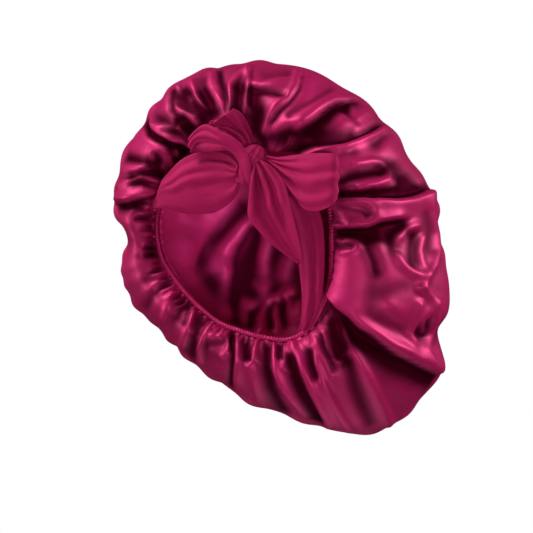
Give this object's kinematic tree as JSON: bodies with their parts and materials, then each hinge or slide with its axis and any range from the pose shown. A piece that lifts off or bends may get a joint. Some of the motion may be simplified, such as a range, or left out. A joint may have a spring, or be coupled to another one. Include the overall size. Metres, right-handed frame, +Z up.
{
  "type": "sleep bonnet",
  "caption": "Full satin sleep bonnet with a gathered crown, soft lining, elastic-cased opening and tie straps knotted in a bow at the brow",
  "frame": {"origin": "centre of the bonnet's opening, in the plane of its elastic edge", "axes": "-Y points out of the opening towards the wearer's face, +Y into the bag, +Z up at the brow and the bow, +X to the right seen from the front"},
  "size_m": [0.3276, 0.2069, 0.363],
  "materials": {
    "satin": "magenta satin with a soft gloss, close weave, fine pulled wrinkles",
    "lining_satin": "the same satin, shiny side in, slightly softer gloss",
    "tie_cloth": "matte crepe with a slight sheen at its folded edges"
  },
  "bodies": {
    "root": {"crown": "satin", "lining": "lining_satin", "elastic_casing": "satin", "knot": "tie_cloth", "left_strap": "tie_cloth", "right_strap": "tie_cloth", "left_loop": "tie_cloth", "right_loop": "tie_cloth", "upper_tail": "tie_cloth", "lower_tail": "tie_cloth"}
  },
  "joints": []
}
